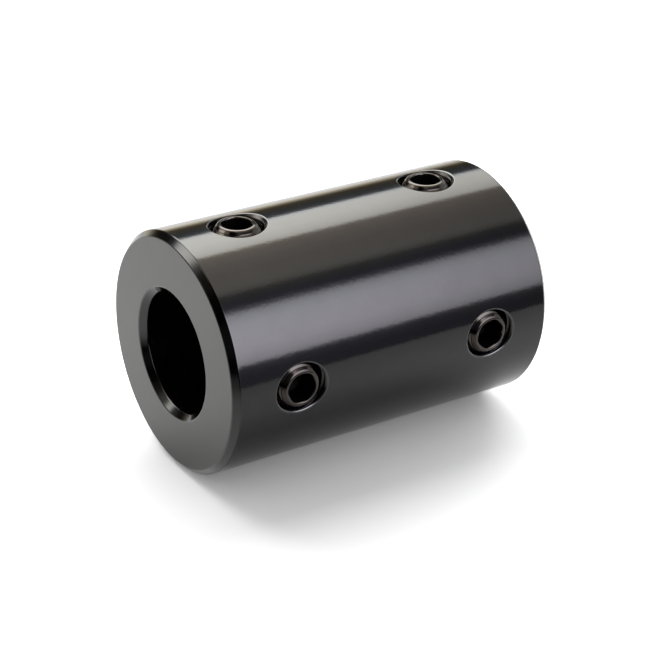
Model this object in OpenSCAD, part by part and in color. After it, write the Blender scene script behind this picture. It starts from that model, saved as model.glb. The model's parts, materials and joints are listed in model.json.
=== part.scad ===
// Rigid coupling that joins two shafts end to end: a bored steel sleeve and its set screws.
// The sleeve stands on one end. Z is the axis of the bore, with the origin on it at mid-length.
// There are two rows of screws, one facing -Y and one a quarter turn on, facing +X.
// Each row has a screw near the top end and another near the bottom end.
// Threads are drawn plain: a screw at the crests of its thread, and its hole at the roots.

/* [Sleeve] */
// Outside diameter
sleeve_d = 25.4; // [22:0.1:40]
// Length from end to end
sleeve_len = 38.1; // [34:0.1:80]
// Diameter of the bore, at the top of its tolerance
bore_d = 12.72; // [9.6:0.01:15]
// Bevel round the outside of each end
end_bevel = 0.64; // [0.1:0.01:1.5]
// Bevel at each mouth of the bore
bore_bevel = 0.64; // [0.1:0.01:1.5]

/* [Rows of screws] */
// Distance from an end of the sleeve to the axis of the screw near it
screw_inset = 7.6; // [5.5:0.1:10]
// Angle between the two rows
row_angle = 90; // [70:1:180]
// Depth of a screw's flat end below the outside of the sleeve
screw_sink = 0.05; // [0:0.01:1]
// Distance that a screw's point stands back from the wall of the bore
point_setback = 0.05; // [0:0.01:1]

/* [Set screw] */
// Diameter over the crests of the thread
thread_d = 6.35; // [5.8:0.01:8]
// Diameter of the flat end, inside the bevel that starts the thread
head_flat_d = 4.4; // [4:0.05:5.6]
// Width of the hexagon socket across its flats
socket_w = 3.175; // [2:0.005:3.3]
// Depth of the socket's flats
socket_depth = 2.6; // [1:0.1:2.8]
// Bevel at the mouth of the socket, outside the hexagon's corners
socket_bevel = 0.1; // [0.02:0.01:0.15]
// Diameter of the rim of the cup point
cup_d = 3.2; // [2:0.05:4]
// Width of the rim round the cup
cup_rim = 0.12; // [0.05:0.01:0.3]

/* [Screw holes] */
// Gap between a screw's thread and the wall of its hole, on each side
thread_gap = 0.025; // [0.01:0.005:0.1]
// Bevel at the outside mouth of each hole
mouth_bevel = 0.1; // [0.02:0.01:0.3]

/* [Hidden] */

// Finish of the pieces: black oxide on turned steel, a little browner on the screws
sleeve_colour = [0.26, 0.26, 0.28];
screw_colour = [0.24, 0.22, 0.21];

// Angles of a cone's side from its axis: a plain bevel, a drill's point and a cup point
bevel_angle = 45;
drill_angle = 59;
cup_angle = 59;

// Directions of the two rows about Z
front_row = -90;
side_row = front_row + row_angle;
// Turn of each socket about its own axis, as the screws were left when they were tightened
front_top_turn = 55;
front_bottom_turn = 15;
side_top_turn = 15;
side_bottom_turn = 20;

sleeve_r = sleeve_d / 2;
bore_r = bore_d / 2;
half_len = sleeve_len / 2;
screw_z = half_len - screw_inset;

// Distances from the axis of the bore to the two ends of a screw
head_at = sleeve_r - screw_sink;
point_at = bore_r + point_setback;
screw_len = head_at - point_at;

thread_r = thread_d / 2;
head_bevel = (thread_r - head_flat_d / 2) / tan(bevel_angle);
point_bevel = (thread_r - cup_d / 2) / tan(bevel_angle);
cup_mouth_r = cup_d / 2 - cup_rim;
cup_depth = cup_mouth_r / tan(cup_angle);
// Hexagon's radius to its corners, and the round drilling below its flats
socket_r = socket_w / 2 / cos(30);
socket_mouth_r = socket_r + socket_bevel;
socket_cone = socket_mouth_r / tan(bevel_angle);
drill_r = socket_w / 2;
drill_tip = drill_r / tan(drill_angle);

hole_r = thread_r + thread_gap;
hole_mouth_r = hole_r + mouth_bevel;
hole_mouth_cone = hole_mouth_r / tan(bevel_angle);

// How far a cut runs past the surface that it opens
past = 1;
// Sides of a circle in the preview
$fn = 96;

// Turns a piece drawn along Z so that Z points out of the sleeve at a row and a height
module at_screw(row, z) {
  rotate([0, 0, row]) translate([0, 0, z]) rotate([0, 90, 0]) children();
}

// Half section of the turned sleeve, out from the axis
module sleeve_section() {
  polygon([
    [bore_r, -half_len + bore_bevel],
    [bore_r + bore_bevel, -half_len],
    [sleeve_r - end_bevel, -half_len],
    [sleeve_r, -half_len + end_bevel],
    [sleeve_r, half_len - end_bevel],
    [sleeve_r - end_bevel, half_len],
    [bore_r + bore_bevel, half_len],
    [bore_r, half_len - bore_bevel]
  ]);
}

// Hole from the axis of the bore outwards, with a bevelled mouth
module screw_hole() {
  cylinder(h = sleeve_r + past, r = hole_r);
  translate([0, 0, sleeve_r - hole_mouth_cone])
    cylinder(h = hole_mouth_cone, r1 = 0, r2 = hole_mouth_r);
}

module sleeve() {
  color(sleeve_colour) difference() {
    rotate_extrude() sleeve_section();
    for (row = [front_row, side_row], z = [-screw_z, screw_z]) at_screw(row, z) screw_hole();
  }
}

// Half section of a screw without its socket, from the cup point up to the flat end
module screw_section() {
  polygon([
    [0, cup_depth],
    [cup_mouth_r, 0],
    [cup_d / 2, 0],
    [thread_r, point_bevel],
    [thread_r, screw_len - head_bevel],
    [head_flat_d / 2, screw_len],
    [0, screw_len]
  ]);
}

// Hexagon socket, cut down from the flat end, with a bevelled mouth and a drilled bottom
module socket_cut() {
  translate([0, 0, screw_len - socket_depth]) {
    cylinder(h = socket_depth + past, r = socket_r, $fn = 6);
    mirror([0, 0, 1]) cylinder(h = drill_tip, r1 = drill_r, r2 = 0);
  }
  translate([0, 0, screw_len - socket_cone]) cylinder(h = socket_cone, r1 = 0, r2 = socket_mouth_r);
}

// One set screw in its hole, with its socket turned about its own axis
module set_screw(row, z, turn) {
  at_screw(row, z) translate([0, 0, point_at]) rotate([0, 0, turn]) difference() {
    rotate_extrude() screw_section();
    socket_cut();
  }
}

module front_top_screw() {
  color(screw_colour) set_screw(front_row, screw_z, front_top_turn);
}

module front_bottom_screw() {
  color(screw_colour) set_screw(front_row, -screw_z, front_bottom_turn);
}

module side_top_screw() {
  color(screw_colour) set_screw(side_row, screw_z, side_top_turn);
}

module side_bottom_screw() {
  color(screw_colour) set_screw(side_row, -screw_z, side_bottom_turn);
}

sleeve();
front_top_screw();
front_bottom_screw();
side_top_screw();
side_bottom_screw();
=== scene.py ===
"""Rigid shaft coupling in black oxide steel, dressed and set in a white studio.

The coupling keeps its own upright frame, in which Z is the axis of the bore. The studio is turned
to meet it: the table is an upright plane that the side of the sleeve lies against, and the camera
is rolled to match. Lengths are in millimetres until a mesh, lamp or camera is made.
"""

import json
import logging
import math
from dataclasses import dataclass, field
from enum import Enum

import bmesh
import bpy
import numpy as np
from mathutils import Matrix, Vector

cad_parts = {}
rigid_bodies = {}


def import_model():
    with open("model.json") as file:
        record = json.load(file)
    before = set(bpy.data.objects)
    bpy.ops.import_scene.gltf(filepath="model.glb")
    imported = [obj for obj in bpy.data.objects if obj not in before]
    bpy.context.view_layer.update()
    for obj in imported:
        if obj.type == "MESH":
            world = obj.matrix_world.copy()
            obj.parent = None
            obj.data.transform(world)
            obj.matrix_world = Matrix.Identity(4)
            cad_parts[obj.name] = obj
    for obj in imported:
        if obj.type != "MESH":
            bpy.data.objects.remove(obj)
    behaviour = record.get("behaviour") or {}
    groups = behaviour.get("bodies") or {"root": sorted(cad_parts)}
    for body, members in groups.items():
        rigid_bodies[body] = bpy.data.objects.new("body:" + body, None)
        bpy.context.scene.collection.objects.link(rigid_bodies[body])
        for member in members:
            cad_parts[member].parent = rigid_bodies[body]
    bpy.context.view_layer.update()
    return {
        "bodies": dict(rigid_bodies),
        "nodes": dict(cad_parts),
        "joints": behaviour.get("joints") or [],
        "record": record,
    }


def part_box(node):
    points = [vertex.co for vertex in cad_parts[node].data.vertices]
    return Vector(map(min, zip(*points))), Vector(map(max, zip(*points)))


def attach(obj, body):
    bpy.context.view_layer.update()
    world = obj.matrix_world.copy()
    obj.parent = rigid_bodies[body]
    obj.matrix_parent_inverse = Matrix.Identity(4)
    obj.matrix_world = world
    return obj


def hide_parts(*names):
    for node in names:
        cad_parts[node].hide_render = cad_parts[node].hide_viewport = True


LOG = logging.getLogger("coupling")
MM = 0.001
FULL_TURN = 2 * math.pi
# The photographed screws stand a little further out than the model's, short of the sleeve's crown
HEAD_RAISE = 0.04
# For each screw the turn of its socket in degrees, the radius of the countersink round it, and
# the depth below its end at which its first crest passes the sleeve's tangent
SCREW_SETTINGS = {
    "front_top_screw": (55.0, 2.98, 0.36),
    "front_bottom_screw": (15.0, 2.98, 0.36),
    "side_top_screw": (15.0, 3.14, 0.71),
    "side_bottom_screw": (20.0, 3.14, 0.71),
}

Colour = tuple[float, float, float, float]
# One value, or one for each point
Values = float | np.ndarray
# Points of a path, and their normals
Path = tuple[np.ndarray, np.ndarray]
# Places along a value, each with the light there as one share or as red, green and blue
Stops = tuple[tuple[float, ...], ...]


def srgb(code: str) -> Colour:
    """Turns a written colour into the linear one that a shader takes, by the sRGB standard's curve.

    Args:
        code: An sRGB colour as six hexadecimal digits.

    Returns:
        Linear red, green and blue, and an alpha of 1.
    """
    shares = [int(code[i : i + 2], 16) / 255 for i in (0, 2, 4)]
    linear = [s / 12.92 if s <= 0.04045 else ((s + 0.055) / 1.055) ** 2.4 for s in shares]
    return (*linear, 1.0)


def add_node(
    tree: bpy.types.NodeTree, kind: str, inputs: dict | None = None, **settings: object
) -> bpy.types.Node:
    """Adds one node to a tree, with its settings, values and links.

    Args:
        tree: The node tree.
        kind: The node's type name.
        inputs: A value, or an output socket to link from, for each named or numbered input.
        **settings: Attributes of the node itself.

    Returns:
        The new node.
    """
    node = tree.nodes.new(kind)
    for name, value in settings.items():
        setattr(node, name, value)
    for name, value in (inputs or {}).items():
        if isinstance(value, bpy.types.NodeSocket):
            tree.links.new(value, node.inputs[name])
        else:
            node.inputs[name].default_value = value
    return node


def empty_material(name: str) -> bpy.types.Material:
    """Makes a node material that has no nodes yet.

    Args:
        name: Name of the material.

    Returns:
        The material.
    """
    material = bpy.data.materials.new(name)
    material.use_nodes = True
    material.node_tree.nodes.clear()
    return material


def light_along(
    tree: bpy.types.NodeTree, value: bpy.types.NodeSocket, unit: float, stops: Stops, top: float
) -> bpy.types.NodeSocket:
    """Spreads light between stops along a value.

    Args:
        tree: The material's node tree.
        value: Output that runs along the stops.
        unit: What one unit of the stops' places is in the value.
        stops: Place of each stop and the light there, which is blended between them.
        top: The light that comes out as 1.

    Returns:
        The output with the light, as a share of the top.
    """
    low, high = stops[0][0], stops[-1][0]
    along = add_node(
        tree, "ShaderNodeMapRange", {"Value": value, "From Min": low * unit, "From Max": high * unit}
    )
    node = add_node(tree, "ShaderNodeValToRGB", {"Fac": along.outputs[0]})
    spots = node.color_ramp.elements
    for place, *_ in stops[1:-1]:
        spots.new((place - low) / (high - low))
    for spot, (_, *light) in zip(spots, stops):
        spot.color = (*(np.broadcast_to(light, 3) / top), 1.0)
    return node.outputs[0]


class Shell:
    """Collects points and faces in millimetres, then makes one closed, smooth mesh of them."""

    def __init__(self) -> None:
        """Starts with no points and no faces."""
        self._points: list[np.ndarray] = []
        self._normals: list[np.ndarray] = []
        self._faces: list[list[int]] = []
        self._zones: list[int] = []
        self._count = 0

    def add(self, points: np.ndarray, normals: np.ndarray | None = None) -> np.ndarray:
        """Adds points.

        Args:
            points: Places, with x, y and z on the last axis.
            normals: The surface's true normal at each point. Points without one take the
                smooth normal of the mesh.

        Returns:
            The number of each point, in the same rows and columns.
        """
        flat = points.reshape(-1, 3)
        given = np.full_like(flat, np.nan) if normals is None else normals.reshape(-1, 3)
        numbers = np.arange(self._count, self._count + len(flat))
        self._points.append(flat)
        self._normals.append(given)
        self._count += len(flat)
        return numbers.reshape(points.shape[:-1])

    def join(self, low: np.ndarray, high: np.ndarray, zone: int, keep: np.ndarray | None = None) -> None:
        """Fills the band between two closed rings of as many points with four-sided faces.

        Args:
            low: Numbers of the points in one ring.
            high: Numbers of the points in the other.
            zone: Which of the piece's finishes the faces take.
            keep: Which cells of the band to fill. All are filled without it.
        """
        cells = np.stack([low, np.roll(low, -1), np.roll(high, -1), high], axis=1)
        self._take(cells if keep is None else cells[keep], zone)

    def join_all(self, rings: np.ndarray, zone: int) -> None:
        """Fills the bands between one ring and the next, all along a stack of rings."""
        for low, high in zip(rings[:-1], rings[1:]):
            self.join(low, high, zone)

    def join_halved(self, fine: np.ndarray, coarse: np.ndarray, zone: int) -> None:
        """Fills the band between a ring and one of half as many points with triangles.

        Args:
            fine: Numbers of the points in the ring with more.
            coarse: Numbers of the points in the ring with fewer.
            zone: Which of the piece's finishes the faces take.
        """
        start, middle, end = fine[0::2], fine[1::2], np.roll(fine, -2)[0::2]
        near, far = coarse, np.roll(coarse, -1)
        for corners in ((start, middle, near), (middle, end, far), (middle, far, near)):
            self._take(np.stack(corners, axis=1), zone)

    def cap(self, ring: np.ndarray, tip: np.ndarray, zone: int) -> None:
        """Closes a ring with triangles that meet in one point.

        Args:
            ring: Numbers of the points in the ring.
            tip: Place of the point.
            zone: Which of the piece's finishes the faces take.
        """
        middle = np.full_like(ring, self.add(tip[None])[0])
        self._take(np.stack([ring, np.roll(ring, -1), middle], axis=1), zone)

    def _take(self, cells: np.ndarray, zone: int) -> None:
        """Keeps faces and the zone that they are in."""
        self._faces.extend(cells.tolist())
        self._zones.extend([zone] * len(cells))

    def make(self, name: str, materials: list[bpy.types.Material]) -> bpy.types.Object:
        """Makes the mesh and an object for it.

        Args:
            name: Name of the object.
            materials: The finish of each zone, in the order of the zones' numbers.

        Returns:
            The object, linked to the scene.
        """
        mesh = bpy.data.meshes.new(name)
        mesh.from_pydata((np.concatenate(self._points) * MM).tolist(), [], self._faces)
        mesh.polygons.foreach_set("material_index", self._zones)
        for material in materials:
            mesh.materials.append(material)
        shell = bmesh.new()
        shell.from_mesh(mesh)
        bmesh.ops.recalc_face_normals(shell, faces=shell.faces)
        shell.to_mesh(mesh)
        shell.free()
        mesh.shade_smooth()
        smooth = np.zeros(3 * self._count, np.float32)
        mesh.vertices.foreach_get("normal", smooth)
        given = np.concatenate(self._normals)
        normals = np.where(np.isnan(given), smooth.reshape(-1, 3), given)
        mesh.normals_split_custom_set_from_vertices(normals.tolist())
        piece = bpy.data.objects.new(name, mesh)
        bpy.context.scene.collection.objects.link(piece)
        return piece


def rounded(corners: list[tuple[float, float]], radius: float, steps: int) -> Path:
    """Rounds the corners of a path that runs with the metal on its left.

    Args:
        corners: The path's points, as distances from an axis and along it. Each turn is to the left.
        radius: Radius of each rounded corner.
        steps: How many pieces each arc is drawn in.

    Returns:
        The points of the rounded path, and the normal to its right at each.
    """
    path = np.array(corners, float)
    ways = np.diff(path, axis=0)
    ways /= np.linalg.norm(ways, axis=1)[:, None]
    sides = np.stack([ways[:, 1], -ways[:, 0]], axis=1)
    points, normals = [path[0]], [sides[0]]
    for corner, way, before, after in zip(path[1:-1], ways, sides, sides[1:]):
        turn = math.acos(float(np.clip(before @ after, -1, 1)))
        centre = corner - way * radius * math.tan(turn / 2) - before * radius
        for angle in np.linspace(0, turn, steps + 1):
            normals.append(before * math.cos(angle) + way * math.sin(angle))
            points.append(centre + radius * normals[-1])
    return np.array([*points, path[-1]]), np.array([*normals, sides[-1]])


def revolve(path: Path, turns: np.ndarray) -> Path:
    """Turns a path about Z.

    Args:
        path: Points of the path as distances from Z and heights, and their normals.
        turns: Angles about Z of the columns, in radians.

    Returns:
        Places and normals, a row for each point of the path and a column for each angle.
    """
    found = []
    for part in path:
        out, up = part[:, 0][:, None], part[:, 1][:, None]
        columns = (out * np.cos(turns), out * np.sin(turns), up + 0 * turns)
        found.append(np.stack(columns, axis=2))
    return found[0], found[1]


@dataclass(frozen=True)
class Thread:
    """Right-handed quarter-inch thread, 28 turns to the inch, shared by the screws and their holes."""

    pitch: float = 25.4 / 28
    flank_angle: float = 60.0
    crest_flat: float = 0.113

    def radius(self, out: Values, around: Values, crest: float, root: float) -> Values:
        """Works out how far the thread's surface stands from the screw's axis.

        Args:
            out: Distance along the screw's axis, out from a crest in the sleeve's tangent.
            around: Angle about the screw's axis, in radians, from that tangent.
            crest: Radius at the screw's crests, or at the bottom of the hole's grooves.
            root: Radius at the screw's roots, or at the top of the hole's ridges.

        Returns:
            The radius at each place.
        """
        phase = out / self.pitch - around / FULL_TURN
        along = np.abs(phase - np.round(phase)) * self.pitch
        fall = np.maximum(along - self.crest_flat / 2, 0) * math.tan(math.radians(self.flank_angle))
        return np.clip(crest - fall, root, crest)


@dataclass(frozen=True)
class CrossAxis:
    """Axis of a screw and of its hole, square to the bore.

    The hole's countersink has its own radius, and the thread a crest that passes through the
    sleeve's tangent at a set distance from the bore's axis.
    """

    turn: float
    height: float
    mouth_radius: float
    crest_out: float

    def place(self, radius: Values, around: Values, out: Values) -> np.ndarray:
        """Turns places about this axis into places in the coupling's frame.

        Args:
            radius: Distance from this axis.
            around: Angle about it, in radians, from the sleeve's tangent towards Z.
            out: Distance along it from the bore's axis.

        Returns:
            Places, with x, y and z on the last axis.
        """
        moved = self.direction(radius * np.cos(around), radius * np.sin(around), out)
        return moved + np.array([0, 0, self.height])

    def direction(self, across: Values, up: Values, out: Values) -> np.ndarray:
        """Turns a direction across, up and out of this axis into one in the coupling's frame."""
        cos, sin = math.cos(self.turn), math.sin(self.turn)
        return np.stack([out * cos - across * sin, out * sin + across * cos, up + 0 * out], axis=-1)


class Cut(Enum):
    """Which way a tool fed over the steel, and so which way its marks are stacked."""

    ALONG_AXIS = "along the bore's axis"
    OUT_FROM_AXIS = "out from the bore's axis"
    NONE = "no one way"


@dataclass(frozen=True)
class BlackOxideSteel:
    """Steel that was cut on a lathe, then blackened in hot salts and oiled.

    The conversion coat is under 0.002 mm thick, so every tool mark still shows in it. It gives the
    eye a near-black metal with crisp but slightly smeared highlights, which turn pale only where
    the surface is seen at a slant.
    """

    name: str
    dark: str
    light: str
    roughness: float
    roughness_spread: float = 0.05
    cut: Cut = Cut.ALONG_AXIS
    # Feed marks are 0.05 to 0.1 mm apart, which is about one pixel, so they are drawn coarser
    mark_spacing: float = 0.16
    mark_height: float = 0.0006
    mark_length: float = 7.0
    mottle_size: float = 2.5
    # Low waves that the lathe leaves, which make the edges of reflections a little ragged
    wave_height: float = 0.0
    wave_size: float = 0.35

    # Noise that is nearly smooth, and noise with much that is finer laid over it
    SOFT = {"Detail": 2.0}
    ROUGH = {"Detail": 3.0, "Roughness": 0.6}
    # Most of the sum of two noises lies between these
    SUM_LOW, SUM_HIGH = 0.7, 1.3

    def material(self) -> bpy.types.Material:
        """Makes the node material.

        Returns:
            The material, with marks and mottling from the object's own coordinates.
        """
        material = empty_material("black_oxide_" + self.name)
        tree = material.node_tree
        place = add_node(tree, "ShaderNodeTexCoord").outputs["Object"]
        millimetres = {0: place, "Scale": 1 / MM}
        sized = add_node(tree, "ShaderNodeVectorMath", millimetres, operation="SCALE").outputs[0]
        marks = self._marks(tree, sized)
        spots = {"Vector": sized, "Scale": 1 / self.mottle_size, **self.ROUGH}
        mottle = add_node(tree, "ShaderNodeTexNoise", spots).outputs[0]
        shades = {"Factor": mottle, 6: srgb(self.dark), 7: srgb(self.light)}
        colour = add_node(tree, "ShaderNodeMix", shades, data_type="RGBA")
        both = add_node(tree, "ShaderNodeMath", {0: marks, 1: mottle}, operation="ADD")
        smears = {
            "Value": both.outputs[0],
            "From Min": self.SUM_LOW,
            "From Max": self.SUM_HIGH,
            "To Min": self.roughness - self.roughness_spread,
            "To Max": self.roughness + self.roughness_spread,
        }
        rough = add_node(tree, "ShaderNodeMapRange", smears)
        swell = {"Vector": sized, "Scale": 1 / self.wave_size, **self.SOFT}
        waves = add_node(tree, "ShaderNodeTexNoise", swell).outputs[0]
        low = {"Height": waves, "Strength": 1.0, "Distance": self.wave_height * MM}
        under = add_node(tree, "ShaderNodeBump", low).outputs[0]
        fine = {"Height": marks, "Strength": 1.0, "Distance": self.mark_height * MM, "Normal": under}
        bump = add_node(tree, "ShaderNodeBump", fine)
        surface = {
            "Base Color": colour.outputs[2],
            "Metallic": 1.0,
            "Roughness": rough.outputs[0],
            "Normal": bump.outputs[0],
        }
        shader = add_node(tree, "ShaderNodeBsdfPrincipled", surface)
        add_node(tree, "ShaderNodeOutputMaterial", {"Surface": shader.outputs[0]})
        return material

    def _marks(self, tree: bpy.types.NodeTree, place: bpy.types.NodeSocket) -> bpy.types.NodeSocket:
        """Draws the tool's marks as noise that is stretched along the way of the cut.

        Args:
            tree: The material's node tree.
            place: Output with the place in millimetres.

        Returns:
            The output with the height of the marks, from 0 to 1.
        """
        if self.cut is Cut.NONE:
            grain = {"Vector": place, "Scale": 1 / self.mark_spacing, **self.SOFT}
            return add_node(tree, "ShaderNodeTexNoise", grain).outputs[0]
        x, y, stack = add_node(tree, "ShaderNodeSeparateXYZ", {0: place}).outputs
        if self.cut is Cut.OUT_FROM_AXIS:
            flat = add_node(tree, "ShaderNodeCombineXYZ", {0: x, 1: y}).outputs[0]
            stack = add_node(tree, "ShaderNodeVectorMath", {0: flat}, operation="LENGTH").outputs["Value"]
        stretched = [
            add_node(tree, "ShaderNodeMath", {0: part, 1: size}, operation="DIVIDE").outputs[0]
            for part, size in ((x, self.mark_length), (y, self.mark_length), (stack, self.mark_spacing))
        ]
        where = add_node(tree, "ShaderNodeCombineXYZ", dict(enumerate(stretched))).outputs[0]
        streaks = {"Vector": where, "Scale": 1.0, **self.ROUGH}
        return add_node(tree, "ShaderNodeTexNoise", streaks).outputs[0]


@dataclass(frozen=True)
class Window:
    """Rectangle of a cylinder's mesh that is left out round a hole, counted from the hole's axis."""

    columns: int
    half_columns: int
    half_rows: int
    half_height: float
    # How many rows are drawn beside and between the windows
    plain_rows: int = 4

    def heights(self, top: float, axis: float) -> np.ndarray:
        """Spaces the cylinder's rows so that two windows fit between them.

        Args:
            top: Height of the cylinder's last row. The first is as far below the middle.
            axis: Height of the upper hole's axis. The lower one is as far below the middle.

        Returns:
            The heights of all rows, from the lowest up.
        """
        low, high = axis - self.half_height, axis + self.half_height
        upper = [
            np.linspace(0, low, self.plain_rows, endpoint=False),
            np.linspace(low, high, 2 * self.half_rows, endpoint=False),
            np.linspace(high, top, self.plain_rows),
        ]
        rows = np.concatenate(upper)
        return np.concatenate([-rows[:0:-1], rows])

    def turns(self) -> np.ndarray:
        """Gives the angles of the cylinder's columns about Z, in radians."""
        return np.arange(self.columns) * FULL_TURN / self.columns


@dataclass
class Sleeve:
    """Turned sleeve with its bore, its bevelled ends and four tapped holes."""

    radius: float
    half_length: float
    bore_radius: float
    axes: list[CrossAxis]
    thread: Thread = Thread()
    bevel: float = 0.64
    edge_radius: float = 0.25
    edge_steps: int = 6
    mouth_round: float = 0.1
    # Depth over which the hole's thread grows to its full form below the countersink
    thread_start: float = 0.15
    ridge_radius: float = 2.75
    groove_radius: float = 3.19
    wall_rows: int = 84
    layers: int = 8
    # How strongly a hole's rings crowd towards its mouth, down its wall and round it
    wall_crowding: float = 1.4
    patch_crowding: float = 1.5
    # How often the curves where a hole meets the outside and the bore are worked out again, each
    # time from the last
    edge_rounds: int = 30
    foot_rounds: int = 12
    # Width of the ring of triangles between the end face's fine rings and its coarse ones
    joining_ring: float = 1.0
    outer_window: Window = Window(columns=240, half_columns=14, half_rows=14, half_height=4.655)
    inner_window: Window = Window(columns=120, half_columns=11, half_rows=17, half_height=4.6)

    OUTSIDE, ENDS, BEVELS, RIMS, INSIDE = range(5)

    def dress(self) -> list[bpy.types.Material]:
        """Makes the finishes of the outside, the ends, the bevels, the holes' rims and the inside.

        Returns:
            The materials, in the order of the zones.
        """
        finishes = (
            BlackOxideSteel("turned_outside", "3e3e3e", "434343", 0.095, 0.02, wave_height=0.004),
            BlackOxideSteel("faced_ends", "525251", "585857", 0.22, cut=Cut.OUT_FROM_AXIS),
            BlackOxideSteel("turned_bevels", "424242", "464646", 0.14, 0.02),
            BlackOxideSteel("worn_rims", "4e4e4f", "565656", 0.11, 0.02),
            BlackOxideSteel("bored_inside", "3c3a39", "444241", 0.24),
        )
        return [finish.material() for finish in finishes]

    def build(self) -> bpy.types.Object:
        """Builds the sleeve as one closed mesh.

        Returns:
            The piece.
        """
        shell = Shell()
        outside = self._cylinder(shell, self.radius, 1, self.outer_window, self.OUTSIDE)
        inside = self._cylinder(shell, self.bore_radius, -1, self.inner_window, self.INSIDE)
        for side, outer_row, inner_row in ((1, outside[-1], inside[-1]), (-1, outside[0], inside[0])):
            self._end(shell, side, outer_row, inner_row)
        for axis in self.axes:
            mouth, foot, wall = self._hole(shell, axis)
            self._patch(shell, axis, outside, mouth, wall[0], 1)
            self._patch(shell, axis, inside, foot, wall[-1], -1)
        return shell.make("sleeve_steel", self.dress())

    def _start(self) -> float:
        """Gives the height at which the plain cylinder ends, short of the bevel's rounded edge."""
        return self.half_length - self.bevel - self.edge_radius

    def _cylinder(self, shell: Shell, radius: float, facing: int, window: Window, zone: int) -> np.ndarray:
        """Builds the outside or the bore, with a window left out round each hole.

        Args:
            shell: The mesh that takes it.
            radius: Radius of the cylinder.
            facing: 1 where the metal is inside the cylinder, or -1 where it is outside.
            window: The cylinder's columns and the size of its windows.
            zone: The finish of its faces.

        Returns:
            The numbers of its points, a row for each height.
        """
        heights = window.heights(self._start(), max(a.height for a in self.axes))
        path = (
            np.stack([np.full_like(heights, radius), heights], axis=1),
            np.stack([np.full_like(heights, facing), 0 * heights], axis=1),
        )
        numbers = shell.add(*revolve(path, window.turns()))
        open_cells = np.zeros(numbers.shape, bool)
        for axis in self.axes:
            rows, columns = self._cells(axis, window)
            open_cells[np.ix_(rows[:-1], columns[:-1])] = True
        for low, high, gone in zip(numbers[:-1], numbers[1:], open_cells):
            shell.join(low, high, zone, ~gone)
        return numbers

    def _cells(self, axis: CrossAxis, window: Window) -> tuple[np.ndarray, np.ndarray]:
        """Finds the rows and columns of the points that frame a hole's window.

        Args:
            axis: The hole's axis.
            window: The cylinder's columns and the size of its windows.

        Returns:
            The rows and the columns, each from one side of the window to the other.
        """
        heights = window.heights(self._start(), abs(axis.height))
        first = int(np.argmin(np.abs(heights - (axis.height - window.half_height))))
        middle = round(axis.turn / FULL_TURN * window.columns)
        columns = np.arange(middle - window.half_columns, middle + window.half_columns + 1)
        return np.arange(first, first + 2 * window.half_rows + 1), columns % window.columns

    def _end(self, shell: Shell, side: int, outer_row: np.ndarray, inner_row: np.ndarray) -> None:
        """Builds an end face with its two bevels, between the outside and the bore.

        Args:
            shell: The mesh that takes it.
            side: 1 for the upper end, or -1 for the lower.
            outer_row: The last ring of the outside.
            inner_row: The last ring of the bore.
        """
        outer, inner, top, start = self.radius, self.bore_radius, self.half_length, self._start()
        middle, foot = (outer + inner) / 2, top - self.bevel
        out_corners = [(outer, start), (outer, foot), (outer - self.bevel, top), (middle, top)]
        in_corners = [
            (middle - self.joining_ring, top),
            (inner + self.bevel, top),
            (inner, foot),
            (inner, start),
        ]
        out_path, in_path = (
            rounded(corners, self.edge_radius, self.edge_steps) for corners in (out_corners, in_corners)
        )
        flip = np.array([1, side])
        out_path = tuple(part[1:] * flip for part in out_path)
        in_path = tuple(part[:-1] * flip for part in in_path)
        out_rings = shell.add(*revolve(out_path, self.outer_window.turns()))
        in_rings = shell.add(*revolve(in_path, self.inner_window.turns()))
        last = self.edge_steps + 1
        shell.join(outer_row, out_rings[0], self.OUTSIDE)
        shell.join_all(out_rings[: last + 1], self.BEVELS)
        shell.join_all(out_rings[last:], self.ENDS)
        shell.join_halved(out_rings[-1], in_rings[0], self.ENDS)
        shell.join_all(in_rings[:-last], self.ENDS)
        shell.join_all(in_rings[-last - 1 :], self.BEVELS)
        shell.join(in_rings[-1], inner_row, self.INSIDE)

    def _hole(self, shell: Shell, axis: CrossAxis) -> tuple[np.ndarray, np.ndarray, np.ndarray]:
        """Builds the wall of a tapped hole, from its rounded mouth down to the bore.

        Args:
            shell: The mesh that takes it.
            axis: The hole's axis.

        Returns:
            The radius of the wall's first ring and of its last at each column, and the numbers
            of all its points.
        """
        around = self._around()
        edge = self._edge(axis, around)
        lip = edge + self.mouth_round
        crown = self.radius - axis.mouth_radius
        lip_out = np.sqrt(self.radius**2 - (lip * np.cos(around)) ** 2)
        low, low_out = edge - self.mouth_round, crown + edge - self.mouth_round
        rows, normals = [], []
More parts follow.
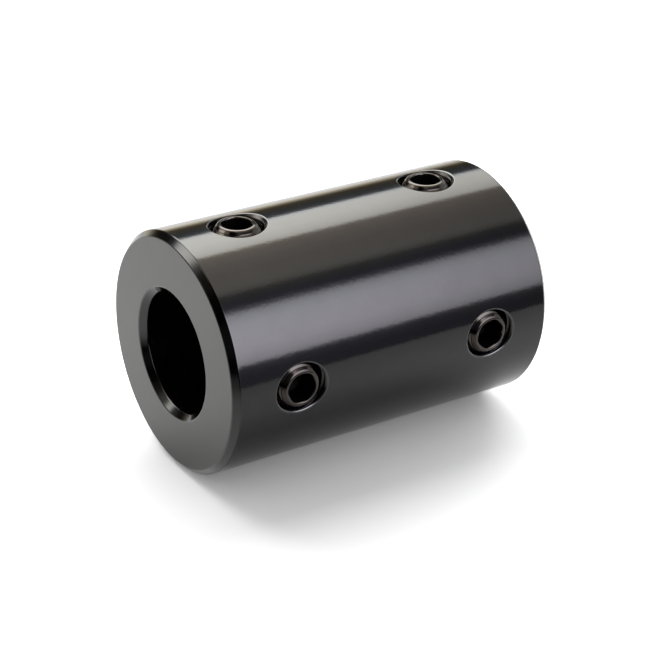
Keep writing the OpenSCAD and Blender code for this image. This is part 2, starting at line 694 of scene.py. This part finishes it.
        # The mouth is a curve drawn out of three points: its lip, its sharp edge and its foot
        above = axis.direction(lip * np.cos(around), 0 * around, lip_out) / self.radius
        below = axis.direction(-np.cos(around), -np.sin(around), 1 + 0 * around) / math.sqrt(2)
        for share in np.linspace(0, 1, self.edge_steps + 1):
            weights = ((1 - share) ** 2, 2 * share * (1 - share), share**2)
            r = weights[0] * lip + weights[1] * edge + weights[2] * low
            h = weights[0] * lip_out + weights[1] * (crown + edge) + weights[2] * low_out
            rows.append(axis.place(r, around, h))
            normal = above * (1 - share) + below * share
            normals.append(normal / np.linalg.norm(normal, axis=1)[:, None])
        foot = np.full_like(around, self.groove_radius)
        for _ in range(self.foot_rounds):
            foot_out = np.sqrt(self.bore_radius**2 - (foot * np.cos(around)) ** 2)
            foot = self._thread(axis, foot_out, around)
        for share in np.linspace(0, 1, self.wall_rows + 1)[1:] ** self.wall_crowding:
            h = low_out + (foot_out - low_out) * share
            fade = np.clip((low_out - h) / self.thread_start, 0, 1)
            grown = (self._thread(axis, h, around) - self.ridge_radius) * fade
            cone = h - crown
            r = foot if share == 1 else np.maximum(cone, self.ridge_radius + grown)
            rows.append(axis.place(r, around, h))
            normals.append(np.full((len(around), 3), np.nan))
        numbers = shell.add(np.array(rows), np.array(normals))
        shell.join_all(numbers[: self.edge_steps + 1], self.RIMS)
        shell.join_all(numbers[self.edge_steps :], self.INSIDE)
        return lip, foot, numbers

    def _thread(self, axis: CrossAxis, out: np.ndarray, around: np.ndarray) -> np.ndarray:
        """Gives the radius of a hole's thread at a distance from the bore's axis and an angle."""
        return self.thread.radius(out - axis.crest_out, around, self.groove_radius, self.ridge_radius)

    def _around(self) -> np.ndarray:
        """Gives the angles of a hole's columns about its axis, from the corner of its window."""
        count = 4 * (self.outer_window.half_columns + self.outer_window.half_rows)
        return np.arange(count) * FULL_TURN / count - 3 * math.pi / 4

    def _edge(self, axis: CrossAxis, around: np.ndarray) -> np.ndarray:
        """Finds the radius at which a hole's countersink meets the outside.

        Args:
            axis: The hole's axis.
            around: Angles of the columns.

        Returns:
            The radius at each angle.
        """
        crown = self.radius - axis.mouth_radius
        edge = np.full_like(around, axis.mouth_radius)
        for _ in range(self.edge_rounds):
            edge = np.sqrt(self.radius**2 - (edge * np.cos(around)) ** 2) - crown
        return edge

    def _patch(
        self,
        shell: Shell,
        axis: CrossAxis,
        grid: np.ndarray,
        ring_radius: np.ndarray,
        ring: np.ndarray,
        facing: int,
    ) -> None:
        """Fills the window of a cylinder between its frame and the ring of a hole.

        Args:
            shell: The mesh that takes it.
            axis: The hole's axis.
            grid: The cylinder's points.
            ring_radius: The ring's radius about the hole's axis, at each column.
            ring: Numbers of the ring's points.
            facing: 1 for the outside, or -1 for the bore.
        """
        window = self.outer_window if facing > 0 else self.inner_window
        radius = self.radius if facing > 0 else self.bore_radius
        zone = self.OUTSIDE if facing > 0 else self.INSIDE
        rows, columns = self._cells(axis, window)
        wide = np.linspace(-1, 1, len(columns)) * window.half_columns * FULL_TURN / window.columns
        tall = np.linspace(-1, 1, len(rows)) * window.half_height
        frame, frame_turn, frame_up = (
            np.concatenate([cells[0, :-1], cells[:-1, -1], cells[-1, :0:-1], cells[:0:-1, 0]])
            for cells in (grid[np.ix_(rows, columns)], *np.meshgrid(wide, tall))
        )
        around = self._around()
        ring_turn = np.arcsin(ring_radius * np.cos(around) / radius)
        ring_up = ring_radius * np.sin(around)
        rings = [ring]
        for share in (np.arange(1, self.layers) / self.layers) ** self.patch_crowding:
            turn = axis.turn + ring_turn + (frame_turn - ring_turn) * share
            up = axis.height + ring_up + (frame_up - ring_up) * share
            normal = np.stack([np.cos(turn), np.sin(turn), 0 * turn], axis=1)
            place = normal * radius
            place[:, 2] = up
            rings.append(shell.add(place, normal * facing))
        shell.join_all(np.array([*rings, frame]), zone)


@dataclass
class SetScrew:
    """Socket set screw with its thread, its hexagon socket and its cup point."""

    name: str
    axis: CrossAxis
    head_out: float
    point_out: float
    socket_turn: float
    thread: Thread = Thread()
    columns: int = 144
    crest_radius: float = 3.13
    root_radius: float = 2.64
    # The end curves from the socket's lip, ever more steeply, into a 45 degree chamfer that runs
    # out to a shallow step
    mouth_radius: float = 1.67
    lip_radius: float = 1.51
    chamfer_radius: float = 2.0
    face_radius: float = 2.17
    lip_power: float = 2.5
    step_depth: float = 0.08
    # How fast the crests and the roots of the thread grow below the step
    crest_slope: float = 1.2
    root_slope: float = 0.35
    # The oxide and a worn broach leave the socket a little under its nominal 3.175
    socket_flats: float = 2.98
    socket_corners: float = 8.0
    socket_depth: float = 2.6
    socket_round: float = 0.23
    face_rows: int = 16
    worn_rows: int = 12
    cup_radius: float = 1.6
    cup_rim: float = 0.12
    drill_angle: float = 59.0
    thread_rows: int = 96
    # How strongly the thread's rings crowd towards the end that is seen
    thread_crowding: float = 1.4
    # How far outside the face the step's rounded edge, the thread's roots and its crests begin,
    # and how far down that edge reaches
    step_leans: tuple[float, float, float] = (0.01, 0.02, 0.04)
    step_round: float = 0.03
    # How far above the point the thread ends, and how far inside the cup's edge its next ring is
    point_gap: float = 0.02
    cup_gap: float = 0.03

    FACE, LIP, THREAD, SOCKET = range(4)
    SIDES = 6
    # The socket's rings: in its drilled cone by share of the drill's radius, on its floor by share
    # of the drill's radius and of the hexagon's, one by its height above the floor, and up its
    # walls by share of the way to the lip
    CONE_RINGS = (0.3, 0.98)
    FLOOR_RINGS = (1.01, 0.995)
    FOOT_RING = 0.02
    WALL_RINGS = (0.3, 0.6, 0.85, 0.97, 1.0)
    # The rings of the socket's rounded mouth by their lean, in degrees
    MOUTH_LEANS = (75, 60, 45, 30, 15)

    @staticmethod
    def dress() -> list[bpy.types.Material]:
        """Makes the finishes that all screws share.

        Returns:
            The materials of the end, its worn lip, the thread and the socket, whose near-black colour is
            painted shade, in the order of the zones.
        """
        finishes = (
            ("headed_screws", "3b3735", "44403c", 0.11, 0.03),
            ("worn_lips", "484542", "504c49", 0.11, 0.03),
            ("rolled_threads", "44403d", "4c4845", 0.11, 0.03),
            # The socket's near-black colour is painted shade in the recess, over the broached and oiled
            # oxide
            ("broached_sockets_painted_shade", "0c0c0b", "121110", 0.6),
        )
        return [
            BlackOxideSteel(*finish, cut=Cut.NONE, mark_spacing=0.25).material() for finish in finishes
        ]

    def build(self, materials: list[bpy.types.Material]) -> bpy.types.Object:
        """Builds the screw as one closed mesh.

        Args:
            materials: The finishes, as dress gives them.

        Returns:
            The piece.
        """
        shell = Shell()
        around = self._corner() + np.arange(self.columns) * FULL_TURN / self.columns
        socket = self._socket(shell, around)
        face = [socket[-1], *self._face(shell, around)]
        shank = self._shank(shell, around)
        shell.join_all(np.array(socket), self.SOCKET)
        shell.join_all(np.array(face[: self.worn_rows]), self.LIP)
        shell.join_all(np.array(face[self.worn_rows - 1 :]), self.FACE)
        shell.join_all(np.array([face[-1], *shank]), self.THREAD)
        bottom = self.head_out - self.socket_depth - self._cone_depth(self.socket_flats / 2)
        shell.cap(socket[0], self._on_axis(bottom), self.SOCKET)
        cup = self._cone_depth(self.cup_radius - self.cup_rim)
        shell.cap(shank[-1], self._on_axis(self.point_out + cup), self.THREAD)
        return shell.make(self.name, materials)

    def _corner(self) -> float:
        """Gives the angle of the socket's first corner about the screw's axis, in radians."""
        return math.radians(self.socket_turn) - math.pi / 2

    def _cone_depth(self, radius: float) -> float:
        """Gives the depth of a drilled cone with a radius at its mouth."""
        return radius / math.tan(math.radians(self.drill_angle))

    def _on_axis(self, out: float) -> np.ndarray:
        """Gives the place on the screw's axis at a distance from the bore's axis."""
        return self.axis.place(0.0, 0.0, out)

    def _hexagon(self, around: np.ndarray) -> np.ndarray:
        """Draws the socket's outline, with its corners a little rounded.

        Args:
            around: Angles of the columns.

        Returns:
            The socket's radius at each angle.
        """
        total = np.zeros_like(around)
        for side in range(self.SIDES):
            flat = self._corner() + (side + 0.5) * FULL_TURN / self.SIDES
            total += np.maximum(np.cos(around - flat), 0) ** self.socket_corners
        return self.socket_flats / 2 / total ** (1 / self.socket_corners)

    def _top(self, radius: float) -> tuple[float, float]:
        """Draws the outline of the end.

        Args:
            radius: Distance from the screw's axis.

        Returns:
            The end's distance out there from the bore's axis, and the sine of its tilt.
        """
        width = self.chamfer_radius - self.lip_radius
        share = min(max((radius - self.lip_radius) / width, 0), 1)
        slope = share**self.lip_power
        drop = slope * share * width / (self.lip_power + 1) + max(radius - self.chamfer_radius, 0)
        return self.head_out - drop, slope / math.hypot(1, slope)

    def _socket(self, shell: Shell, around: np.ndarray) -> list[np.ndarray]:
        """Builds the socket, from the drilling at its bottom up to its rounded lip.

        Args:
            shell: The mesh that takes it.
            around: Angles of the columns.

        Returns:
            The numbers of the points in each ring.
        """
        hexagon = self._hexagon(around)
        drill = np.full_like(around, self.socket_flats / 2)
        bottom = self.head_out - self.socket_depth
        lip = self._top(self.mouth_radius)[0] - self.socket_round
        tip = self._cone_depth(self.socket_flats / 2)
        seat, foot = self.FLOOR_RINGS
        levels = [(drill * share, bottom - tip * (1 - share)) for share in self.CONE_RINGS]
        levels += [(drill * seat, bottom), (hexagon * foot, bottom), (hexagon, bottom + self.FOOT_RING)]
        levels += [(hexagon, bottom + (lip - bottom) * share) for share in self.WALL_RINGS]
        return [shell.add(self.axis.place(r, around, h)) for r, h in levels]

    def _face(self, shell: Shell, around: np.ndarray) -> list[np.ndarray]:
        """Builds the end, from the socket's lip out to the step round it.

        Args:
            shell: The mesh that takes it.
            around: Angles of the columns.

        Returns:
            The numbers of the points in each ring.
        """
        width = self.mouth_radius - self._hexagon(around)
        height = self._top(self.mouth_radius)[0]
        levels = []
        for angle in np.radians(self.MOUTH_LEANS):
            lean, rise = math.sin(angle) * self.socket_round, math.cos(angle) * width
            r = self.mouth_radius - width * math.sin(angle)
            h = height - self.socket_round * (1 - math.cos(angle))
            levels.append((r, h, -lean / np.hypot(lean, rise)))
        for radius in np.linspace(self.mouth_radius, self.face_radius, self.face_rows):
            levels.append((radius, *self._top(radius)))
        rings = []
        for r, h, tilt in levels:
            normal = self.axis.direction(tilt * np.cos(around), tilt * np.sin(around), np.sqrt(1 - tilt**2))
            rings.append(shell.add(self.axis.place(r, around, h), normal))
        return rings

    def _shank(self, shell: Shell, around: np.ndarray) -> list[np.ndarray]:
        """Builds the step, the thread and the point, down to the rim of the cup.

        Args:
            shell: The mesh that takes it.
            around: Angles of the columns.

        Returns:
            The numbers of the points in each ring.
        """
        edge = self._top(self.face_radius)[0]
        first, last = edge - self.step_depth, self.point_out + self.point_gap
        step, first_root, first_crest = (self.face_radius + lean for lean in self.step_leans)
        levels = [(step, edge - self.step_round)]
        for share in np.linspace(0, 1, self.thread_rows):
            h = first + (last - first) * share**self.thread_crowding
            root = min(self.root_radius, first_root + self.root_slope * (first - h))
            crest = min(self.crest_radius, first_crest + self.crest_slope * (first - h))
            thread = self.thread.radius(h - self.axis.crest_out, around, self.crest_radius, 0)
            point = self.cup_radius + h - self.point_out
            levels.append((np.minimum(np.maximum(thread, root), min(crest, point)), h))
        cup = self.cup_radius - self.cup_rim
        for r in (self.cup_radius, cup, cup - self.cup_gap, cup / 2):
            levels.append((r, self.point_out + self._cone_depth(max(cup - r, 0))))
        return [shell.add(self.axis.place(r, around, h)) for r, h in levels]


@dataclass(frozen=True)
class Card:
    """Curved studio wall that stands round the coupling and shows only in its reflections.

    It is lit in upright bands, as softboxes with black flags between them, and fades along its
    height.
    """

    name: str
    # Azimuth about the bore's axis in degrees from +X, and the light there
    bands: Stops
    # Height in millimetres, and the share of the bands' light there
    fade: Stops
    distance: float = 400.0
    lid_radius: float = 1.0
    steps: int = 48
    brightest: float = 8.0

    def build(self) -> bpy.types.Object:
        """Builds the card with a lid and its glow, and hides it from all but glossy rays.

        Returns:
            The card.
        """
        turns = np.radians(np.linspace(self.bands[0][0], self.bands[-1][0], self.steps + 1))
        low, high = self.fade[0][0], self.fade[-1][0]
        rims = ((self.distance, low), (self.distance, high), (self.lid_radius, high))
        points = [
            (out * math.cos(turn) * MM, out * math.sin(turn) * MM, height * MM)
            for out, height in rims
            for turn in turns
        ]
        width = self.steps + 1
        corners = [i + row * width for row in range(len(rims) - 1) for i in range(self.steps)]
        mesh = bpy.data.meshes.new(self.name)
        mesh.from_pydata(points, [], [(i, i + 1, i + 1 + width, i + width) for i in corners])
        mesh.materials.append(self._glow())
        card = bpy.data.objects.new(self.name, mesh)
        bpy.context.scene.collection.objects.link(card)
        card.visible_camera = card.visible_diffuse = card.visible_shadow = card.visible_transmission = False
        return card

    def _glow(self) -> bpy.types.Material:
        """Makes the card's light from its bands and its fade.

        Returns:
            The node material.
        """
        material = empty_material(self.name + "_light")
        tree = material.node_tree
        place = add_node(tree, "ShaderNodeTexCoord").outputs["Object"]
        parts = add_node(tree, "ShaderNodeSeparateXYZ", {0: place}).outputs
        turn = add_node(tree, "ShaderNodeMath", {0: parts[1], 1: parts[0]}, operation="ARCTAN2").outputs[0]
        bands = light_along(tree, turn, math.radians(1), self.bands, self.brightest)
        fade = light_along(tree, parts[2], MM, self.fade, self.brightest)
        # Both come out as shares of the brightest level, so their product is scaled back twice
        level = add_node(tree, "ShaderNodeMath", {0: fade, 1: self.brightest**2}, operation="MULTIPLY")
        light = add_node(tree, "ShaderNodeEmission", {"Color": bands, "Strength": level.outputs[0]})
        add_node(tree, "ShaderNodeOutputMaterial", {"Surface": light.outputs[0]})
        return material


@dataclass
class Table:
    """White table top that the sleeve's side lies on, seen through from behind."""

    drop: float
    front: float = -62.0
    back: float = 400.0
    half_width: float = 400.0
    # The table is painted brighter than the plain light would show it, to both the eye and
    # reflections, and it keeps the whole of the shadow
    gain: float = 1.74
    own_light: float = 0.12
    laminate: str = "f2f2f2"
    # Share of the table's light that reflections show, fitted to the greys of the photographed
    # sleeve: by the distance behind the bore's axis, and by the distance towards the corner at the
    # near left, past which the real table seems to have been unlit
    # These shares are painted shade on the table, seen only in reflections
    depth_shares: Stops = (
        (-62, 0.42), (-42, 0.51), (-33, 0.58), (-24, 0.68), (0, 0.74), (11, 0.75), (30, 0.84), (150, 0.77)
    )
    corner_shares: Stops = (
        (25, 1.0), (34, 0.93), (46, 0.75), (68, 0.33), (90, 0.28), (110, 0.2)
    )
    # A slanting strip that only the near end's bevel reflects is brighter, as the bevel's greys in
    # the photo call for: its edges by the sum of z and y, and the rise along it by the distance
    # towards the same corner
    # The strip is a painted pool of light on the table, seen only in reflections
    strip_edges: Stops = ((8, 0.0), (10.5, 1.0), (16, 1.0), (19, 0.0))
    strip_rises: Stops = (
        (13, 0.0), (15, 0.12), (16.2, 0.5), (17.3, 0.7), (20, 0.5), (25, 0.33), (34, 0.07), (40, 0.0)
    )

    def build(self) -> bpy.types.Object:
        """Builds the table top.

        Returns:
            The table top.
        """
        corners = [
            (-self.drop, self.front, -self.half_width),
            (-self.drop, self.back, -self.half_width),
            (-self.drop, self.back, self.half_width),
            (-self.drop, self.front, self.half_width),
        ]
        mesh = bpy.data.meshes.new("table")
        mesh.from_pydata([tuple(c * MM for c in corner) for corner in corners], [], [(0, 1, 2, 3)])
        mesh.materials.append(self.dress())
        table = bpy.data.objects.new("table", mesh)
        bpy.context.scene.collection.objects.link(table)
        return table

    def dress(self) -> bpy.types.Material:
        """Makes the matt white laminate, with a little light of its own so that shadows stay grey, and with
        painted shade and a painted strip of light that only reflections see.

        Returns:
            The material, which is clear from behind.
        """
        material = empty_material("matt_white_laminate")
        tree = material.node_tree
        rays = add_node(tree, "ShaderNodeLightPath").outputs
        either = {0: rays["Is Camera Ray"], 1: rays["Is Glossy Ray"]}
        seen = add_node(tree, "ShaderNodeMath", either, operation="MAXIMUM")
        gain = add_node(
            tree, "ShaderNodeMapRange", {"Value": seen.outputs[0], "To Min": 1.0, "To Max": self.gain}
        )
        share = self._share(tree, rays["Is Glossy Ray"])
        level = add_node(tree, "ShaderNodeMath", {0: gain.outputs[0], 1: share}, operation="MULTIPLY")
        paint = {0: srgb(self.laminate)[:3], "Scale": level.outputs[0]}
        colour = add_node(tree, "ShaderNodeVectorMath", paint, operation="SCALE")
        white = add_node(tree, "ShaderNodeBsdfDiffuse", {"Color": colour.outputs[0]})
        own = add_node(tree, "ShaderNodeMath", {0: share, 1: self.own_light}, operation="MULTIPLY")
        fill = add_node(tree, "ShaderNodeEmission", {"Strength": own.outputs[0]})
        front = add_node(tree, "ShaderNodeAddShader", {0: white.outputs[0], 1: fill.outputs[0]})
        clear = add_node(tree, "ShaderNodeBsdfTransparent")
        behind = add_node(tree, "ShaderNodeNewGeometry").outputs["Backfacing"]
        both = add_node(
            tree, "ShaderNodeMixShader", {0: behind, 1: front.outputs[0], 2: clear.outputs[0]}
        )
        add_node(tree, "ShaderNodeOutputMaterial", {"Surface": both.outputs[0]})
        return material

    def _share(self, tree: bpy.types.NodeTree, glossy: bpy.types.NodeSocket) -> bpy.types.NodeSocket:
        """Works out the share of the table's light that a ray sees.

        Args:
            tree: The material's node tree.
            glossy: Output that is 1 for a reflection's ray.

        Returns:
            The output with the share, which is 1 for all other rays.
        """
        place = add_node(tree, "ShaderNodeTexCoord").outputs["Object"]
        _, y, z = add_node(tree, "ShaderNodeSeparateXYZ", {0: place}).outputs
        across = add_node(tree, "ShaderNodeMath", {0: z, 1: y}, operation="ADD").outputs[0]
        corner = add_node(tree, "ShaderNodeMath", {0: z, 1: y}, operation="SUBTRACT").outputs[0]
        # The difference of z and y is longer than the distance towards the corner by this
        slant = MM * math.sqrt(2)
        # Painted shade by depth and towards the corner, and the painted strip of light, for reflections only
        top = max(share for _, share in self.depth_shares)
        by_depth = light_along(tree, y, MM, self.depth_shares, top)
        by_corner = light_along(tree, corner, slant, self.corner_shares, 1.0)
        strip = light_along(tree, across, MM, self.strip_edges, 1.0)
        rise = light_along(tree, corner, slant, self.strip_rises, 1.0)
        lift = {0: strip, 1: rise, 2: 1.0}
        lifted = add_node(tree, "ShaderNodeMath", lift, operation="MULTIPLY_ADD").outputs[0]
        share = top
        for factor in (lifted, by_depth, by_corner):
            share = add_node(tree, "ShaderNodeMath", {0: factor, 1: share}, operation="MULTIPLY").outputs[0]
        return add_node(
            tree, "ShaderNodeMapRange", {"Value": glossy, "To Min": 1.0, "To Max": share}
        ).outputs[0]


@dataclass(frozen=True)
class Lamp:
    """Broad, far lamp that gives the table its soft shadow, and isn't reflected."""

    name: str
    level: float
    spread: float
    place: tuple[float, float, float]

    def build(self) -> None:
        """Hangs the lamp where it faces the coupling."""
        lamp = bpy.data.lights.new(self.name, "SUN")
        lamp.energy = self.level
        lamp.angle = math.radians(self.spread)
        hung = bpy.data.objects.new(self.name, lamp)
        hung.matrix_world = Vector(self.place).to_track_quat("Z", "Y").to_matrix().to_4x4()
        hung.visible_glossy = False
        bpy.context.scene.collection.objects.link(hung)


@dataclass
class Studio:
    """White room, its lamps and its cards, and the camera."""

    table_drop: float
    camera_place: tuple[float, float, float] = (92.034, -153.596, 101.703)
    camera_aim: tuple[float, float, float] = (-0.849, -0.916, 1.272)
    camera_lean: float = 2.29
    lens: float = 108.526
    sensor: float = 36.0
    clip: tuple[float, float] = (10.0, 10000.0)
    # The room lights matt surfaces less than the broad lamps behind the coupling do
    room_level: float = 0.38
    lamps: tuple[Lamp, ...] = (
        Lamp("key", 2.6, 80.0, (0.643, 0.72, -0.262)),
        Lamp("low_back", 1.5, 50.0, (0.174, 0.492, -0.853)),
    )
    cards: list[Card] = field(default_factory=list)

    def build(self) -> None:
        """Builds the camera, the white world, the lamps, the table and the cards."""
        self._camera()
        self._world()
        for lamp in self.lamps:
            lamp.build()
        Table(self.table_drop).build()
        for card in self.cards:
            card.build()

    def _camera(self) -> None:
        """Places the camera, level with the table apart from a small lean."""
        place, aim = Vector(self.camera_place), Vector(self.camera_aim)
        ahead = (aim - place).normalized()
        lean = math.radians(self.camera_lean)
        right = ahead.cross(Vector((math.cos(lean), math.sin(lean), 0))).normalized()
        up = right.cross(ahead)
        lens = bpy.data.cameras.new("camera")
        lens.lens, lens.sensor_width = self.lens, self.sensor
        lens.clip_start, lens.clip_end = (end * MM for end in self.clip)
        camera = bpy.data.objects.new("camera", lens)
        turn = Matrix((right, up, -ahead)).transposed().to_4x4()
        camera.matrix_world = Matrix.Translation(place * MM) @ turn
        bpy.context.scene.collection.objects.link(camera)
        bpy.context.scene.camera = camera

    def _world(self) -> None:
        """Makes the room plain white to the eye and in reflections, and dimmer as a light."""
        world = bpy.data.worlds.new("white_room")
        world.use_nodes = True
        tree = world.node_tree
        tree.nodes.clear()
        rays = add_node(tree, "ShaderNodeLightPath").outputs
        seen = rays["Is Camera Ray"]
        for kind in ("Is Glossy Ray", "Is Transmission Ray"):
            seen = add_node(tree, "ShaderNodeMath", {0: seen, 1: rays[kind]}, operation="MAXIMUM").outputs[0]
        level = add_node(
            tree, "ShaderNodeMapRange", {"Value": seen, "To Min": self.room_level, "To Max": 1.0}
        )
        light = add_node(
            tree, "ShaderNodeBackground", {"Color": (1, 1, 1, 1), "Strength": level.outputs[0]}
        )
        add_node(tree, "ShaderNodeOutputWorld", {"Surface": light.outputs[0]})
        bpy.context.scene.world = world


# The light in each direction was worked back from the reflections on the photographed sleeve, then
# corrected from render to render
STUDIO_CARDS = [
    Card(
        "front_softbox",
        (
            (-125, 0.21, 0.21, 0.25),
            (-97, 0.24, 0.23, 0.29),
            (-90, 0.33, 0.32, 0.38),
            (-87, 0.5, 0.48, 0.56),
            (-84.5, 3.2, 3.1, 3.4),
            (-80, 3.8, 3.7, 4.05),
            (-74, 4.35, 4.25, 4.65),
            (-68, 4.68, 4.55, 5.0),
            (-57, 4.68, 4.58, 5.05),
            (-50, 4.42, 4.42, 4.85),
            (-44, 3.85, 3.88, 4.22),
            (-40, 2.95, 2.95, 3.2),
            (-36.8, 0.85, 0.84, 0.97),
            (-33, 0.3, 0.29, 0.36),
            (-28, 0.3, 0.29, 0.34),
            (-22.8, 0.42, 0.41, 0.4),
            (-19, 0.98, 0.95, 0.87),
            (-15, 1.2, 1.13, 1.05),
            (0, 1.23, 1.11, 1.03),
        ),
        (
            (-500, 0.3),
            (-400, 0.5),
            (-279, 0.79),
            (-243, 0.95),
            (-211, 1.03),
            (-175, 1.1),
            (-50, 1.15),
            (40, 1.12),
            (90, 0.3),
            (120, 0.03),
            (430, 0.012),
        ),
    ),
    Card(
        "back_softbox",
        (
            (0, 1.23, 1.11, 1.03),
            (9, 1.36, 1.25, 1.13),
            (18, 1.63, 1.42, 1.23),
            (21.5, 1.9, 1.65, 1.45),
            (24.2, 5.9, 5.7, 5.2),
            (29, 6.4, 6.28, 5.85),
            (38, 6.5, 6.43, 6.04),
            (44, 5.97, 5.91, 5.45),
            (50, 5.35, 5.33, 5.1),
            (52.7, 4.75, 4.75, 4.75),
            (55, 3.6, 3.6, 3.7),
            (56.5, 0.75, 0.78, 0.83),
            (59.5, 0.24, 0.26, 0.28),
            (66, 0.17, 0.17, 0.17),
            (76, 0.16, 0.13, 0.07),
            (80, 0.4, 0.34, 0.24),
            (84, 1.0, 0.9, 0.7),
            (88, 1.48, 1.38, 1.15),
            (95, 1.55, 1.45, 1.25),
            (103, 1.47, 1.42, 1.31),
            (125, 1.2, 1.18, 1.1),
        ),
        (
            (-500, 0.3),
            (-400, 0.5),
            (-279, 0.79),
            (-243, 0.94),
            (-211, 1.04),
            (-175, 1.15),
            (-50, 1.25),
            (40, 1.15),
            (90, 0.35),
            (185, 0.25),
            (235, 1.0),
            (280, 1.08),
            (345, 0.8),
            (362, 0.55),
            (376, 0.12),
            (430, 0.06),
        ),
    ),
]


def screw_from(node: str, turn_of_socket: float, mouth_radius: float, crest_depth: float) -> SetScrew:
    """Takes a screw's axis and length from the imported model.

    Args:
        node: Name of the screw's node.
        turn_of_socket: Turn of its hexagon about its own axis, in degrees.
        mouth_radius: Radius of the countersink round it.
        crest_depth: Depth below its end at which its first crest passes the sleeve's tangent.

    Returns:
        The screw, not yet built.
    """
    low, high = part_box(node)
    centre, size = (low + high) / 2 / MM, (high - low) / MM
    turn = math.atan2(centre.y, centre.x)
    length = abs(size.x * math.cos(turn)) + abs(size.y * math.sin(turn))
    reach = math.hypot(centre.x, centre.y)
    head, point = reach + length / 2 + HEAD_RAISE, reach - length / 2
    axis = CrossAxis(turn, centre.z, mouth_radius, head - crest_depth)
    return SetScrew(node + "_steel", axis, head, point, turn_of_socket)


def main() -> None:
    """Builds the coupling's pieces round the frame, then the studio."""
    logging.basicConfig(level=logging.INFO, format="%(name)s: %(message)s")
    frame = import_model()
    bpy.context.scene.view_settings.view_transform = "Standard"
    low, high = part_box("sleeve")
    bore = next(m for m in frame["record"]["mounts"] if m["name"] == "bore")

    screws = {node: screw_from(node, *setting) for node, setting in SCREW_SETTINGS.items()}
    sleeve = Sleeve(
        radius=high.x / MM,
        half_length=high.z / MM,
        bore_radius=bore["dims"]["r_mm"],
        axes=[screw.axis for screw in screws.values()],
    )
    piece = sleeve.build()
    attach(piece, "root")
    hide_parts("sleeve")
    LOG.info("built %s with %d faces", piece.name, len(piece.data.polygons))

    finishes = SetScrew.dress()
    for node, screw in screws.items():
        piece = screw.build(finishes)
        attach(piece, "root")
        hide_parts(node)
        LOG.info("built %s with %d faces", piece.name, len(piece.data.polygons))

    Studio(table_drop=-low.x / MM, cards=STUDIO_CARDS).build()
    LOG.info("built the studio")


if __name__ == "__main__":
    main()
